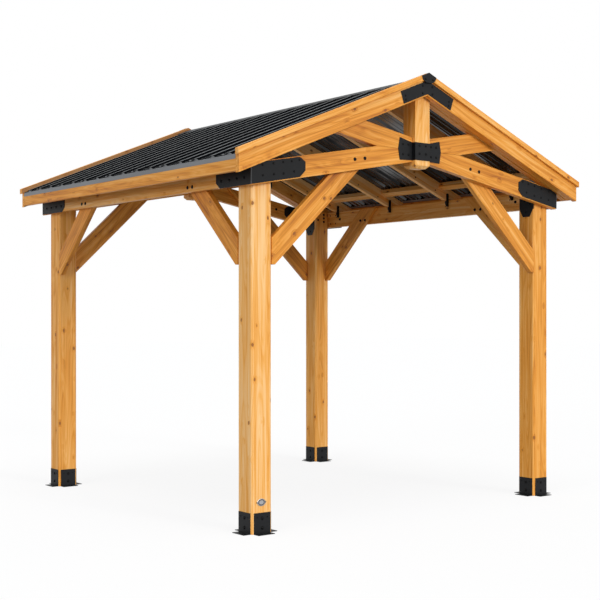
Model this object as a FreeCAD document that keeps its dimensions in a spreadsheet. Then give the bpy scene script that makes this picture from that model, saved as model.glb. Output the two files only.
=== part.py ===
# A timber garden gazebo on four posts with a gable roof of ribbed steel.
# X runs across the gable, Y along the ridge, Z up; the ground is at zero; lengths in millimetres.
import FreeCAD
import Part
import Sketcher
import math
import os

doc = FreeCAD.newDocument("gazebo")
sheet = doc.addObject("Spreadsheet::Sheet", "Sizes")
row_number = 0


class Size:
    """A length that knows its value and the expression over the sheet that gives it."""

    def __init__(self, value, text):
        self.value = float(value)
        self.text = text

    def __add__(self, other):
        other = as_size(other)
        return Size(self.value + other.value, "(" + self.text + " + " + other.text + ")")

    def __radd__(self, other):
        return as_size(other) + self

    def __sub__(self, other):
        other = as_size(other)
        return Size(self.value - other.value, "(" + self.text + " - " + other.text + ")")

    def __rsub__(self, other):
        return as_size(other) - self

    def __mul__(self, other):
        other = as_size(other)
        return Size(self.value * other.value, "(" + self.text + " * " + other.text + ")")

    def __rmul__(self, other):
        return as_size(other) * self

    def __truediv__(self, other):
        other = as_size(other)
        return Size(self.value / other.value, "(" + self.text + " / " + other.text + ")")

    def __neg__(self):
        return Size(-self.value, "(0 - " + self.text + ")")


def as_size(given):
    if isinstance(given, Size):
        return given
    return Size(given, str(given))


def size(name, value):
    """Writes one driving dimension to the sheet and hands back its Size."""
    global row_number
    row_number = row_number + 1
    sheet.set("A" + str(row_number), name)
    sheet.set("B" + str(row_number), str(value))
    sheet.setAlias("B" + str(row_number), name)
    return Size(value, "Sizes." + name)


def root(given):
    return Size(math.sqrt(given.value), "sqrt(" + given.text + ")")


# Posts
post_width = size("post_width", 147)
post_half_x = size("post_half_x", 1307)
post_half_y = size("post_half_y", 1325)
post_easing = size("post_easing", 11)

# Timber sections
board_thickness = size("board_thickness", 38)
beam_depth = size("beam_depth", 132)
frame_depth = size("frame_depth", 99)
truss_thickness = size("truss_thickness", 47)
gable_rafter_thickness = size("gable_rafter_thickness", 29)
rake_thickness = size("rake_thickness", 36)
fascia_thickness = size("fascia_thickness", 30)

# Levels and slopes, each slope as rise over run
beam_bottom = size("beam_bottom", 2064)
roof_rise = size("roof_rise", 0.405)
truss_rise = size("truss_rise", 0.182)
rafter_notch = size("rafter_notch", 29.5)
chord_heel = size("chord_heel", -11.8)
eave_reach = size("eave_reach", 136)
fascia_drop = size("fascia_drop", 1)
joint_gap = size("joint_gap", 1)
plate_gap = size("plate_gap", 8)

# King posts
king_width = size("king_width", 128)
king_depth = size("king_depth", 113)
king_tail = size("king_tail", 52)
king_easing = size("king_easing", 18)
king_setback = size("king_setback", 10)

# Knee braces
brace_fall = size("brace_fall", 468)
brace_toe = size("brace_toe", 25)
brace_rise = size("brace_rise", 0.9325)
brace_head_lap = size("brace_head_lap", 12)

# Roof frame
rafter_inset = size("rafter_inset", 311)
rafter_brace_gap = size("rafter_brace_gap", 172)
rafter_shift = size("rafter_shift", 37)
purlin_inset = size("purlin_inset", 96)
purlin_width = size("purlin_width", 64)
ridge_thickness = size("ridge_thickness", 38)
trim_side = size("trim_side", 36)
trim_proud = size("trim_proud", 15)
trim_reach = size("trim_reach", 14)

# Steel plates and brackets
steel = size("steel", 3)
foot_steel = size("foot_steel", 4)
foot_width = size("foot_width", 120)
foot_height = size("foot_height", 126)
foot_flange = size("foot_flange", 46)
anchor_hole = size("anchor_hole", 12)
plate_reach = size("plate_reach", 400)
side_leg_reach = size("side_leg_reach", 365)
plate_margin = size("plate_margin", 6)
plate_corner = size("plate_corner", 42)
plate_corner_rise = size("plate_corner_rise", 34)

# Inner brackets
bracket_leg = size("bracket_leg", 127)
bracket_drop = size("bracket_drop", 68)
bracket_bevel = size("bracket_bevel", 32)
bracket_bevel_rise = size("bracket_bevel_rise", 56)
bracket_bend = size("bracket_bend", 6)
bracket_top_gap = size("bracket_top_gap", 6)
bracket_chord_leg = size("bracket_chord_leg", 231)

# King plates
king_plate_height = size("king_plate_height", 115)
king_wing = size("king_wing", 112)
king_wing_point = size("king_wing_point", 14)
king_wing_flare = size("king_wing_flare", 26)
king_wing_drop = size("king_wing_drop", 5)

# Chevron plates and peak caps
chevron_reach = size("chevron_reach", 235)
chevron_lean = size("chevron_lean", 28)
chevron_inset = size("chevron_inset", 9)
cap_half = size("cap_half", 66)
cap_waist = size("cap_waist", 52)
cap_fall = size("cap_fall", 27)

# Rafter brackets
clip_width = size("clip_width", 38)
clip_drop = size("clip_drop", 52)
clip_setback = size("clip_setback", 4)
clip_reach = size("clip_reach", 22)
clip_lift = size("clip_lift", 50)
clip_bevel = size("clip_bevel", 18)
clip_bevel_rise = size("clip_bevel_rise", 30)

# Sheet metal of the roof
sheet_metal = size("sheet_metal", 1.2)
rib_count = size("rib_count", 16)
panel_gap = size("panel_gap", 1)
panel_start = size("panel_start", 12)
panel_setback = size("panel_setback", 8)
rib_height = size("rib_height", 13)
rib_foot = size("rib_foot", 62)
rib_crown = size("rib_crown", 26)
bead_height = size("bead_height", 3)
bead_foot = size("bead_foot", 22)
bead_crown = size("bead_crown", 10)
ridge_cap_leg = size("ridge_cap_leg", 112)
ridge_cap_flat = size("ridge_cap_flat", 9)
drip_face = size("drip_face", 26)
drip_lap = size("drip_lap", 60)

doc.recompute()

nodes = []


def bind(owner, where, given):
    owner.setExpression(where, given.text)


def body(label):
    made = doc.addObject("PartDesign::Body", label)
    made.Label = label
    return made


def origin_plane(owner, role):
    return [part for part in owner.Origin.OriginFeatures if part.Role == role][0]


def outline(owner, plane, points, start):
    """A closed sketch through the given points, every corner bound to the sheet."""
    sketch = owner.newObject("Sketcher::SketchObject", owner.Name + "_outline")
    sketch.AttachmentSupport = [(origin_plane(owner, plane), "")]
    sketch.MapMode = "FlatFace"
    start = as_size(start)
    sketch.AttachmentOffset = FreeCAD.Placement(FreeCAD.Vector(0, 0, start.value), FreeCAD.Rotation())
    bind(sketch, "AttachmentOffset.Base.z", start)
    corners = [(as_size(across), as_size(up)) for across, up in points]
    spots = [FreeCAD.Vector(across.value, up.value, 0) for across, up in corners]
    count = len(spots)
    for index in range(count):
        sketch.addGeometry(Part.LineSegment(spots[index], spots[(index + 1) % count]), False)
    rules = [Sketcher.Constraint("Coincident", index, 2, (index + 1) % count, 1) for index in range(count)]
    bound = []
    for index, (across, up) in enumerate(corners):
        if across.text == "0":
            rules.append(Sketcher.Constraint("PointOnObject", index, 1, -2))
        else:
            bound.append((len(rules), across))
            rules.append(Sketcher.Constraint("DistanceX", -1, 1, index, 1, across.value))
        if up.text == "0":
            rules.append(Sketcher.Constraint("PointOnObject", index, 1, -1))
        else:
            bound.append((len(rules), up))
            rules.append(Sketcher.Constraint("DistanceY", -1, 1, index, 1, up.value))
    sketch.addConstraint(rules)
    for index, given in bound:
        bind(sketch, "Constraints[" + str(index) + "]", given)
    return sketch


def pad(owner, plane, points, start, length):
    """Adds the outline, swept along the plane's normal, to a body."""
    feature = owner.newObject("PartDesign::Pad", owner.Name + "_pad")
    feature.Profile = outline(owner, plane, points, start)
    length = as_size(length)
    feature.Length = length.value
    bind(feature, "Length", length)
    owner.Tip = feature
    return feature


def prism(label, plane, points, start, length):
    made = body(label)
    pad(made, plane, points, start, length)
    return made


def bore(owner, plane, centres, diameter, start, length):
    """Cuts round holes through a body, from the start plane along the plane's normal."""
    sketch = owner.newObject("Sketcher::SketchObject", owner.Name + "_holes")
    sketch.AttachmentSupport = [(origin_plane(owner, plane), "")]
    sketch.MapMode = "FlatFace"
    start = as_size(start)
    sketch.AttachmentOffset = FreeCAD.Placement(FreeCAD.Vector(0, 0, start.value), FreeCAD.Rotation())
    bind(sketch, "AttachmentOffset.Base.z", start)
    diameter = as_size(diameter)
    for across, up in centres:
        across = as_size(across)
        up = as_size(up)
        middle = FreeCAD.Vector(across.value, up.value, 0)
        index = sketch.addGeometry(Part.Circle(middle, FreeCAD.Vector(0, 0, 1), diameter.value / 2), False)
        rule = sketch.addConstraint(Sketcher.Constraint("Diameter", index, diameter.value))
        bind(sketch, "Constraints[" + str(rule) + "]", diameter)
        rule = sketch.addConstraint(Sketcher.Constraint("DistanceX", -1, 1, index, 3, across.value))
        bind(sketch, "Constraints[" + str(rule) + "]", across)
        rule = sketch.addConstraint(Sketcher.Constraint("DistanceY", -1, 1, index, 3, up.value))
        bind(sketch, "Constraints[" + str(rule) + "]", up)
    doc.recompute()
    before = owner.Shape.Volume
    pocket = owner.newObject("PartDesign::Pocket", owner.Name + "_bores")
    pocket.Profile = sketch
    length = as_size(length)
    pocket.Length = length.value
    bind(pocket, "Length", length)
    owner.Tip = pocket
    doc.recompute()
    if owner.Shape.Volume > before - 1:
        pocket.Reversed = True
        doc.recompute()
    return pocket


def mirrored(source, label, normal):
    made = doc.addObject("Part::Mirroring", label)
    made.Label = label
    made.Source = source
    made.Base = FreeCAD.Vector(0, 0, 0)
    made.Normal = normal
    return made


def together(label, pieces):
    made = doc.addObject("Part::Compound", label)
    made.Label = label
    made.Links = pieces
    return made


def keep(node):
    nodes.append(node)
    return node


ACROSS = FreeCAD.Vector(1, 0, 0)
ALONG = FreeCAD.Vector(0, 1, 0)


def both_sides(piece, label):
    """The piece and its mirror image across the ridge line, as one node."""
    return together(label, [piece, mirrored(piece, label + "_mirror", ACROSS)])


def front_and_back(name, maker):
    """Builds a front node and mirrors it to the back gable."""
    front = keep(maker(name + "_front"))
    keep(mirrored(front, name + "_back", ALONG))


# Derived lines of the roof and of the scissor truss
roof_stretch = root(1 + roof_rise * roof_rise)
truss_stretch = root(1 + truss_rise * truss_rise)
frame_drop = frame_depth * roof_stretch
truss_drop = beam_depth * truss_stretch
beam_top = beam_bottom + beam_depth
beam_outer = post_half_x + board_thickness
chord_front = post_half_y + truss_thickness
rafter_plane = chord_front + plate_gap
rake_back = rafter_plane + gable_rafter_thickness
rake_front = rake_back + rake_thickness
trim_front = rake_front + trim_proud
trim_back = trim_front - trim_side
king_half = king_width / 2
king_front = rake_back - king_setback
eave_half_x = beam_outer + eave_reach
fascia_inner = eave_half_x - fascia_thickness
roof_low = beam_top + roof_rise * beam_outer - rafter_notch
roof_peak = roof_low + frame_drop
truss_low = beam_bottom + chord_heel + truss_rise * beam_outer
truss_peak = truss_low + truss_drop
truss_middle = (truss_peak + truss_low) / 2
king_bottom = truss_low - king_tail
brace_toe_level = beam_bottom - brace_fall


def roof(x):
    return roof_peak - roof_rise * x


def roof_under(x):
    return roof_low - roof_rise * x


def chord_top(x):
    return truss_peak - truss_rise * x


def chord_under(x):
    return truss_low - truss_rise * x


def strut_top(x):
    return truss_peak + truss_rise * x


def strut_under(x):
    return truss_low + truss_rise * x


# Four square posts with eased edges
inner_x = post_half_x - post_width
inner_y = post_half_y - post_width
post = prism(
    "post_back_right",
    "XY_Plane",
    [
        (inner_x + post_easing, inner_y),
        (post_half_x - post_easing, inner_y),
        (post_half_x, inner_y + post_easing),
        (post_half_x, post_half_y - post_easing),
        (post_half_x - post_easing, post_half_y),
        (inner_x + post_easing, post_half_y),
        (inner_x, post_half_y - post_easing),
        (inner_x, inner_y + post_easing),
    ],
    0,
    beam_top,
)
keep(post)
post_left = keep(mirrored(post, "post_back_left", ACROSS))
keep(mirrored(post, "post_front_right", ALONG))
keep(mirrored(post_left, "post_front_left", ALONG))


# Folded steel feet, one on each face of a post
foot_outer = foot_steel + foot_flange
foot_profile = [
    (0, 0),
    (foot_outer, 0),
    (foot_outer, foot_steel),
    (foot_steel, foot_steel),
    (foot_steel, foot_height),
    (0, foot_height),
]
feet = []
post_middle_x = post_half_x - post_width / 2
post_middle_y = post_half_y - post_width / 2
for number, (turn, across, along) in enumerate(
    [
        (0, post_half_x, post_middle_y - foot_width / 2 + foot_width),
        (90, post_middle_x - foot_width / 2, post_half_y),
        (180, inner_x, post_middle_y - foot_width / 2),
        (270, post_middle_x + foot_width / 2, inner_y),
    ]
):
    foot = prism("foot_" + str(number), "XZ_Plane", foot_profile, 0, foot_width)
    bore(
        foot,
        "XY_Plane",
        [(foot_steel + foot_flange / 2, -foot_width / 2)],
        anchor_hole,
        0,
        foot_steel,
    )
    foot.Placement = FreeCAD.Placement(
        FreeCAD.Vector(across.value, along.value, 0),
        FreeCAD.Rotation(FreeCAD.Vector(0, 0, 1), turn),
    )
    bind(foot, "Placement.Base.x", across)
    bind(foot, "Placement.Base.y", along)
    feet.append(foot)
feet_set = keep(together("post_feet_back_right", feet))
feet_left = keep(mirrored(feet_set, "post_feet_back_left", ACROSS))
keep(mirrored(feet_set, "post_feet_front_right", ALONG))
keep(mirrored(feet_left, "post_feet_front_left", ALONG))


# Side beams on the outer faces of the posts
beam = prism(
    "side_beam_right",
    "YZ_Plane",
    [
        (-post_half_y, beam_bottom),
        (post_half_y, beam_bottom),
        (post_half_y, beam_top),
        (-post_half_y, beam_top),
    ],
    post_half_x,
    board_thickness,
)
keep(beam)
keep(mirrored(beam, "side_beam_left", ACROSS))


# Lower chords of the scissor trusses, seated under the top chords at the eaves
seat_x = (roof_low - truss_peak) / (roof_rise - truss_rise)
meet_x = (truss_peak - truss_low) / (2 * truss_rise)


def lower_chords(label):
    chord = prism(
        label + "_right",
        "XZ_Plane",
        [
            (king_half, chord_under(king_half)),
            (beam_outer, chord_under(beam_outer)),
            (beam_outer, roof_under(beam_outer) - joint_gap),
            (seat_x, roof_under(seat_x) - joint_gap),
            (meet_x, truss_middle - joint_gap),
            (king_half, truss_middle - joint_gap),
        ],
        post_half_y,
        truss_thickness,
    )
    return both_sides(chord, label)


front_and_back("lower_chords", lower_chords)


# Struts that carry the line of the opposite chord up to the top chords
strut_top_x = (roof_low - truss_peak) / (roof_rise + truss_rise)
strut_under_x = (roof_low - truss_low) / (roof_rise + truss_rise)


def struts(label):
    strut = prism(
        label + "_right",
        "XZ_Plane",
        [
            (king_half, truss_middle),
            (meet_x, truss_middle),
            (strut_under_x, strut_under(strut_under_x) - joint_gap),
            (strut_top_x, strut_top(strut_top_x) - joint_gap),
            (king_half, strut_top(king_half)),
        ],
        post_half_y,
        truss_thickness,
    )
    return both_sides(strut, label)


front_and_back("truss_struts", struts)


# Top chords in the plane of the truss, and gable rafters in front of them
def slope_board(first_x, last_x):
    return [
        (first_x, roof_under(first_x)),
        (last_x, roof_under(last_x)),
        (last_x, roof(last_x)),
        (first_x, roof(first_x)),
    ]


def top_chords(label):
    chord = prism(
        label + "_right",
        "XZ_Plane",
        slope_board(king_half, fascia_inner),
        post_half_y,
        truss_thickness,
    )
    return both_sides(chord, label)


def gable_rafters(label):
    board = prism(
        label + "_right",
        "XZ_Plane",
        slope_board(king_half, fascia_inner),
        rafter_plane,
        gable_rafter_thickness,
    )
    return both_sides(board, label)


front_and_back("top_chords", top_chords)
front_and_back("gable_rafters", gable_rafters)


# Rake boards that face the gables, with a square trim strip along the top
def rake_boards(label):
    board = prism(
        label + "_right",
        "XZ_Plane",
        slope_board(joint_gap / 2, eave_half_x),
        rake_back,
        rake_thickness,
    )
    return both_sides(board, label)


def rake_trims(label):
    trim_rise = trim_side * roof_stretch
    end_x = eave_half_x + trim_reach
    strip = prism(
        label + "_right",
        "XZ_Plane",
        [
            (joint_gap / 2, roof(joint_gap / 2)),
            (end_x, roof(end_x)),
            (end_x, roof(end_x) + trim_rise),
            (joint_gap / 2, roof(joint_gap / 2) + trim_rise),
        ],
        trim_back,
        trim_side,
    )
    return both_sides(strip, label)


front_and_back("rake_boards", rake_boards)
front_and_back("rake_trims", rake_trims)


# King posts, pointed under the ridge, eased at the foot
def king_post(label):
    made = prism(
        label,
        "XZ_Plane",
        [
            (-king_half, king_bottom),
            (king_half, king_bottom),
            (king_half, roof(king_half)),
            (0, roof_peak),
            (-king_half, roof(king_half)),
        ],
        king_front - king_depth,
        king_depth,
    )
    doc.recompute()
    whole = made.Tip
    bottom_edges = []
    for number, edge in enumerate(whole.Shape.Edges):
        box = edge.BoundBox
        if box.ZMax < king_bottom.value + 0.01:
            bottom_edges.append("Edge" + str(number + 1))
    easing = made.newObject("PartDesign::Chamfer", label + "_easing")
    easing.Base = (whole, bottom_edges)
    easing.Size = king_easing.value
    bind(easing, "Size", king_easing)
    made.Tip = easing
    return made


front_and_back("king_post", king_post)


# Knee braces: plumb cut on the post, small toe, level or sloping head
def brace_lines(post_face):
    drop = beam_depth * root(1 + brace_rise * brace_rise)
    toe_in = post_face - brace_toe

    def under(x):
        return brace_toe_level + brace_rise * (toe_in - x)

    def top(x):
        return under(x) + drop

    return toe_in, under, top, drop


def gable_braces(label):
    toe_in, under, top, drop = brace_lines(inner_x)
    head = truss_peak - brace_head_lap
    reach_top = (head - brace_toe_level - drop - brace_rise * toe_in) / (truss_rise - brace_rise)
    reach_under = (head - brace_toe_level - brace_rise * toe_in) / (truss_rise - brace_rise)
    brace = prism(
        label + "_right",
        "XZ_Plane",
        [
            (inner_x, brace_toe_level),
            (inner_x, top(inner_x)),
            (reach_top, top(reach_top)),
            (reach_under, under(reach_under)),
            (toe_in, brace_toe_level),
        ],
        post_half_y - board_thickness,
        board_thickness,
    )
    return both_sides(brace, label)


front_and_back("gable_braces", gable_braces)


side_toe, side_under, side_top, side_drop = brace_lines(inner_y)
side_head = side_toe - (beam_top - side_drop - brace_toe_level) / brace_rise
side_head_end = side_toe - (beam_top - brace_toe_level) / brace_rise


def side_braces(label):
    brace = prism(
        label + "_far",
        "YZ_Plane",
        [
            (inner_y, brace_toe_level),
            (inner_y, side_top(inner_y)),
            (side_head, beam_top),
            (side_head_end, beam_top),
            (side_toe, brace_toe_level),
        ],
        post_half_x - board_thickness,
        board_thickness,
    )
    return together(label, [brace, mirrored(brace, label + "_near", ALONG)])


braces = keep(side_braces("side_braces_right"))
keep(mirrored(braces, "side_braces_left", ACROSS))


# Ridge board between the king posts
king_back = king_front - king_depth
ridge_half = ridge_thickness / 2
ridge = prism(
    "ridge_board",
    "XZ_Plane",
    [
        (-ridge_half, roof_low),
        (ridge_half, roof_low),
        (ridge_half, roof(ridge_half)),
        (-ridge_half, roof(ridge_half)),
    ],
    -king_back,
    2 * king_back,
)
keep(ridge)


# Rafters between the gables, notched over the side beams, the inner two clear of the brace heads
notch_x = (roof_low - beam_top) / roof_rise
rafter_profile = [
    (ridge_half, roof(ridge_half)),
    (ridge_half, roof_under(ridge_half)),
    (notch_x, beam_top),
    (beam_outer, beam_top),
    (beam_outer, roof_under(beam_outer)),
    (fascia_inner, roof_under(fascia_inner)),
    (fascia_inner, roof(fascia_inner)),
]
rafters = []
rafter_outer = post_half_y - rafter_inset
rafter_inner = side_head_end - rafter_brace_gap
rafter_middles = [
    rafter_outer - rafter_shift,
    rafter_inner - rafter_shift,
    -rafter_inner - rafter_shift,
    -rafter_outer - rafter_shift,
]
for number, middle in enumerate(rafter_middles):
    start = middle - board_thickness / 2
    rafters.append(prism("rafter_" + str(number), "XZ_Plane", rafter_profile, start, board_thickness))
rafter_set = keep(together("rafters_right", rafters))
keep(mirrored(rafter_set, "rafters_left", ACROSS))


# Purlin blocks set flush between the rafters
purlin_x = post_half_x - purlin_inset
purlin_far = purlin_x + purlin_width / roof_stretch
purlin_lean = board_thickness * roof_rise / roof_stretch
purlin_sink = board_thickness / roof_stretch
purlin_profile = [
    (purlin_x, roof(purlin_x)),
    (purlin_far, roof(purlin_far)),
    (purlin_far - purlin_lean, roof(purlin_far) - purlin_sink),
    (purlin_x - purlin_lean, roof(purlin_x) - purlin_sink),
]
edges = [(post_half_y, rafter_middles[0] + board_thickness / 2)]
for number in range(3):
    edges.append((rafter_middles[number] - board_thickness / 2, rafter_middles[number + 1] + board_thickness / 2))
edges.append((rafter_middles[3] - board_thickness / 2, -post_half_y))
purlins = []
for number, (high, low) in enumerate(edges):
    purlins.append(prism("purlin_" + str(number), "XZ_Plane", purlin_profile, low, high - low))
purlin_set = together("purlins_right", purlins)
keep(together("purlins", [purlin_set, mirrored(purlin_set, "purlins_left", ACROSS)]))


# Fascia boards along the eaves
fascia = prism(
    "fascia_right",
    "XZ_Plane",
    [
        (fascia_inner, roof_under(fascia_inner) - fascia_drop),
        (eave_half_x, roof_under(fascia_inner) - fascia_drop),
        (eave_half_x, roof(eave_half_x)),
        (fascia_inner, roof(fascia_inner)),
    ],
    -rake_back,
    2 * rake_back,
)
keep(fascia)
keep(mirrored(fascia, "fascia_left", ACROSS))


# Folded drip edges over the fascias
drip_outer = eave_half_x + sheet_metal
drip_rise = sheet_metal * roof_stretch
drip_inner = eave_half_x - drip_lap
drip = prism(
    "eave_flashing_right",
    "XZ_Plane",
    [
        (eave_half_x, roof(eave_half_x) - drip_face),
        (drip_outer, roof(eave_half_x) - drip_face),
        (drip_outer, roof(drip_outer) + drip_rise),
        (drip_inner, roof(drip_inner) + drip_rise),
        (drip_inner, roof(drip_inner)),
        (eave_half_x, roof(eave_half_x)),
    ],
    -rake_back,
    2 * rake_back,
)
keep(both_sides(drip, "eave_flashings"))


# Ribbed steel panels, one rib and two beads repeated along the eave
rib_pitch = (trim_back - panel_gap) * 2 / rib_count
panel_end = eave_half_x - panel_setback
panel_length = (panel_end - panel_start) * roof_stretch
lift = sheet_metal
rib_side = (rib_foot - rib_crown) / 2
bead_side = (bead_foot - bead_crown) / 2
flat = (rib_pitch - rib_foot - 2 * bead_foot) / 4


def sheet_line(thick):
    """Upper or lower line of one pitch of the sheet, from its left end to its right end."""
    half = rib_pitch / 2
    left = -half
    line = [(left, thick)]
    first = left + flat
    line.append((first, thick))
    line.append((first + bead_side, bead_height + thick))
    line.append((first + bead_side + bead_crown, bead_height + thick))
    line.append((first + bead_foot, thick))
    line.append((-rib_foot / 2, thick))
    line.append((-rib_crown / 2, rib_height + thick))
    line.append((rib_crown / 2, rib_height + thick))
    line.append((rib_foot / 2, thick))
    last = half - flat
    line.append((last - bead_foot, thick))
    line.append((last - bead_side - bead_crown, bead_height + thick))
    line.append((last - bead_side, bead_height + thick))
    line.append((last, thick))
    line.append((half, thick))
    return line


panel = body("roof_panel_right")
lower_line = sheet_line(as_size(0))
upper_line = sheet_line(sheet_metal)
middle_shift = rib_pitch * (rib_count - 1) / 2
shifted = [(across - middle_shift, up) for across, up in upper_line + lower_line[::-1]]
first_pad = pad(panel, "YZ_Plane", shifted, 0, panel_length)
repeat = panel.newObject("PartDesign::LinearPattern", "panel_repeat")
repeat.Originals = [first_pad]
repeat.Direction = (origin_plane(panel, "Y_Axis"), [""])
pattern_length = rib_pitch * (rib_count - 1)
repeat.Length = pattern_length.value
bind(repeat, "Length", pattern_length)
repeat.Occurrences = int(rib_count.value)
bind(repeat, "Occurrences", rib_count)
panel.Tip = repeat
lift_x = lift * roof_rise / roof_stretch
lift_z = lift / roof_stretch
start_x = panel_start + lift_x
start_z = roof(panel_start) + lift_z
panel.Placement = FreeCAD.Placement(
    FreeCAD.Vector(start_x.value, 0, start_z.value),
    FreeCAD.Rotation(FreeCAD.Vector(0, 1, 0), math.degrees(math.atan(roof_rise.value))),
)
bind(panel, "Placement.Base.x", start_x)
bind(panel, "Placement.Base.z", start_z)
keep(panel)
keep(mirrored(panel, "roof_panel_left", ACROSS))


# Ridge cap folded over the rib crowns
cap_level = (sheet_metal * 2 + rib_height) * roof_stretch
cap_rise = sheet_metal * roof_stretch
cap_end = ridge_cap_leg / roof_stretch
cap = prism(
    "ridge_cap",
    "XZ_Plane",
    [
        (-cap_end, roof(cap_end) + cap_level),
        (-ridge_cap_flat, roof(ridge_cap_flat) + cap_level),
        (ridge_cap_flat, roof(ridge_cap_flat) + cap_level),
        (cap_end, roof(cap_end) + cap_level),
        (cap_end, roof(cap_end) + cap_level + cap_rise),
        (ridge_cap_flat, roof(ridge_cap_flat) + cap_level + cap_rise),
        (-ridge_cap_flat, roof(ridge_cap_flat) + cap_level + cap_rise),
        (-cap_end, roof(cap_end) + cap_level + cap_rise),
    ],
    -trim_back,
    2 * trim_back,
)
keep(cap)


# Folded corner plates that tie the chords and the side beams
def corner_plates(label):
    tip_x = beam_outer - plate_reach
    fold_x = beam_outer + steel
    margin = plate_margin * truss_stretch
    top_level = roof_under(fold_x) - joint_gap
    top_x = (roof_low - joint_gap - truss_peak + margin) / (roof_rise - truss_rise)
    plate = body(label + "_right")
    pad(
        plate,
        "XZ_Plane",
        [
            (tip_x + plate_corner, chord_under(tip_x + plate_corner) + margin),
            (fold_x, chord_under(fold_x) + margin),
            (fold_x, top_level),
            (top_x, roof_under(top_x) - joint_gap),
            (tip_x + plate_corner, chord_top(tip_x + plate_corner) - margin),
            (tip_x, chord_top(tip_x) - margin - plate_corner_rise),
            (tip_x, chord_under(tip_x) + margin + plate_corner_rise),
        ],
        chord_front,
        steel,
    )
    leg_low = chord_under(fold_x) + margin
    leg_end = chord_front - side_leg_reach
    pad(
        plate,
        "YZ_Plane",
        [
            (-chord_front - steel, leg_low),
            (-leg_end - plate_corner, leg_low),
            (-leg_end, leg_low + plate_corner_rise),
            (-leg_end, top_level),
            (-chord_front - steel, top_level),
        ],
        beam_outer,
        steel,
    )
    return both_sides(plate, label)


front_and_back("corner_plates", corner_plates)


# Folded inner brackets between the posts and the lower chords
def inner_bracket(label):
    made = body(label)
    high = beam_top - bracket_top_gap
    low = beam_bottom - bracket_drop
    shoulder = low + bracket_bevel_rise
    near = post_half_y - bracket_bend
    margin = plate_margin * truss_stretch
    tip_x = inner_x - bracket_chord_leg
    bevel_x = tip_x + plate_corner
    pad(
        made,
        "YZ_Plane",
        [
            (-post_half_y, shoulder),
            (-near, shoulder),
            (-near + bracket_bevel, low),
            (-near + bracket_leg - bracket_bevel, low),
            (-near + bracket_leg, shoulder),
            (-near + bracket_leg, high),
            (-post_half_y, high),
        ],
        inner_x - steel,
        steel,
    )
    pad(
        made,
        "XZ_Plane",
        [
            (inner_x, chord_under(inner_x) + margin),
            (inner_x, chord_top(inner_x) - margin),
            (bevel_x, chord_top(bevel_x) - margin),
            (tip_x, chord_top(tip_x) - margin - plate_corner_rise),
            (tip_x, chord_under(tip_x) + margin + plate_corner_rise),
            (bevel_x, chord_under(bevel_x) + margin),
        ],
        post_half_y - steel,
        steel,
    )
    return made


bracket = inner_bracket("inner_bracket_piece")
bracket_pair = both_sides(bracket, "inner_brackets_pair")
keep(together("inner_brackets", [bracket_pair, mirrored(bracket_pair, "inner_brackets_far", ALONG)]))


# Hat shaped plates wrapped round the king posts over the chord ends
def king_plate(label):
    made = body(label)
    low = truss_low - joint_gap
    high = low + king_plate_height
    outer = king_half + steel
    wing = king_half + king_wing
    tip = wing + king_wing_point
    pad(
        made,
        "XZ_Plane",
        [(-outer, low), (outer, low), (outer, high), (-outer, high)],
        king_front,
        steel,
    )
    for side in (1, -1):
        start = king_half if side == 1 else -outer
        pad(
            made,
            "YZ_Plane",
            [
                (-chord_front, low),
                (-king_front - steel, low),
                (-king_front - steel, high),
                (-chord_front, high),
            ],
            start,
            steel,
        )
        pad(
            made,
            "XZ_Plane",
            [
                (side * king_half, low),
                (side * wing, low - king_wing_drop),
                (side * tip, truss_middle),
                (side * wing, high + king_wing_flare),
                (side * king_half, high),
            ],
            chord_front,
            steel,
        )
    return made


front_king_plate = king_plate("king_plate_front")
keep(together("king_plates", [front_king_plate, mirrored(front_king_plate, "king_plate_back", ALONG)]))


# Chevron plates on the rake joint and small caps on the trim joint
def chevron_plate(label):
    outer_low = chevron_reach - chevron_lean
    return prism(
        label,
        "XZ_Plane",
        [
            (0, roof_low + chevron_inset),
            (outer_low, roof_under(outer_low) + chevron_inset),
            (chevron_reach, roof(chevron_reach) - chevron_inset),
            (0, roof_peak - chevron_inset),
            (-chevron_reach, roof(chevron_reach) - chevron_inset),
            (-outer_low, roof_under(outer_low) + chevron_inset),
        ],
        rake_front,
        steel,
    )


def peak_cap(label):
    crown = roof_peak + trim_side * roof_stretch + joint_gap
    return prism(
        label,
        "XZ_Plane",
        [
            (-cap_waist / 2, roof_peak - cap_fall),
            (cap_waist / 2, roof_peak - cap_fall),
            (cap_waist, roof_peak - cap_fall / 2),
            (cap_half, crown - roof_rise * cap_half),
            (0, crown),
            (-cap_half, crown - roof_rise * cap_half),
            (-cap_waist, roof_peak - cap_fall / 2),
        ],
        trim_front,
        steel,
    )


front_chevron = chevron_plate("chevron_plate_front")
keep(together("chevron_plates", [front_chevron, mirrored(front_chevron, "chevron_plate_back", ALONG)]))
front_cap = peak_cap("peak_cap_front")
keep(together("peak_caps", [front_cap, mirrored(front_cap, "peak_cap_back", ALONG)]))


# Small angle brackets from the side beams to the rafters
brackets = []
for number, middle in enumerate(rafter_middles):
    angle = body("rafter_bracket_" + str(number))
    face = middle + board_thickness / 2
    leg_low = beam_top - clip_drop
    leg_high = beam_top - clip_setback
    inner = post_half_x - steel
    outer_end = inner - clip_reach
    pad(
        angle,
        "YZ_Plane",
        [
            (-face - steel, leg_low),
            (-face + clip_width - clip_bevel, leg_low),
            (-face + clip_width, leg_low + clip_bevel_rise),
            (-face + clip_width, leg_high),
            (-face - steel, leg_high),
        ],
        inner,
        steel,
    )
    pad(
        angle,
        "XZ_Plane",
        [
            (outer_end, leg_low),
            (post_half_x, leg_low),
            (post_half_x, beam_top + clip_lift),
            (outer_end, beam_top + clip_lift),
        ],
        face,
        steel,
    )
    brackets.append(angle)
bracket_row = together("rafter_brackets_right", brackets)
keep(together("rafter_brackets", [bracket_row, mirrored(bracket_row, "rafter_brackets_left", ACROSS)]))

doc.recompute()

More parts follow.
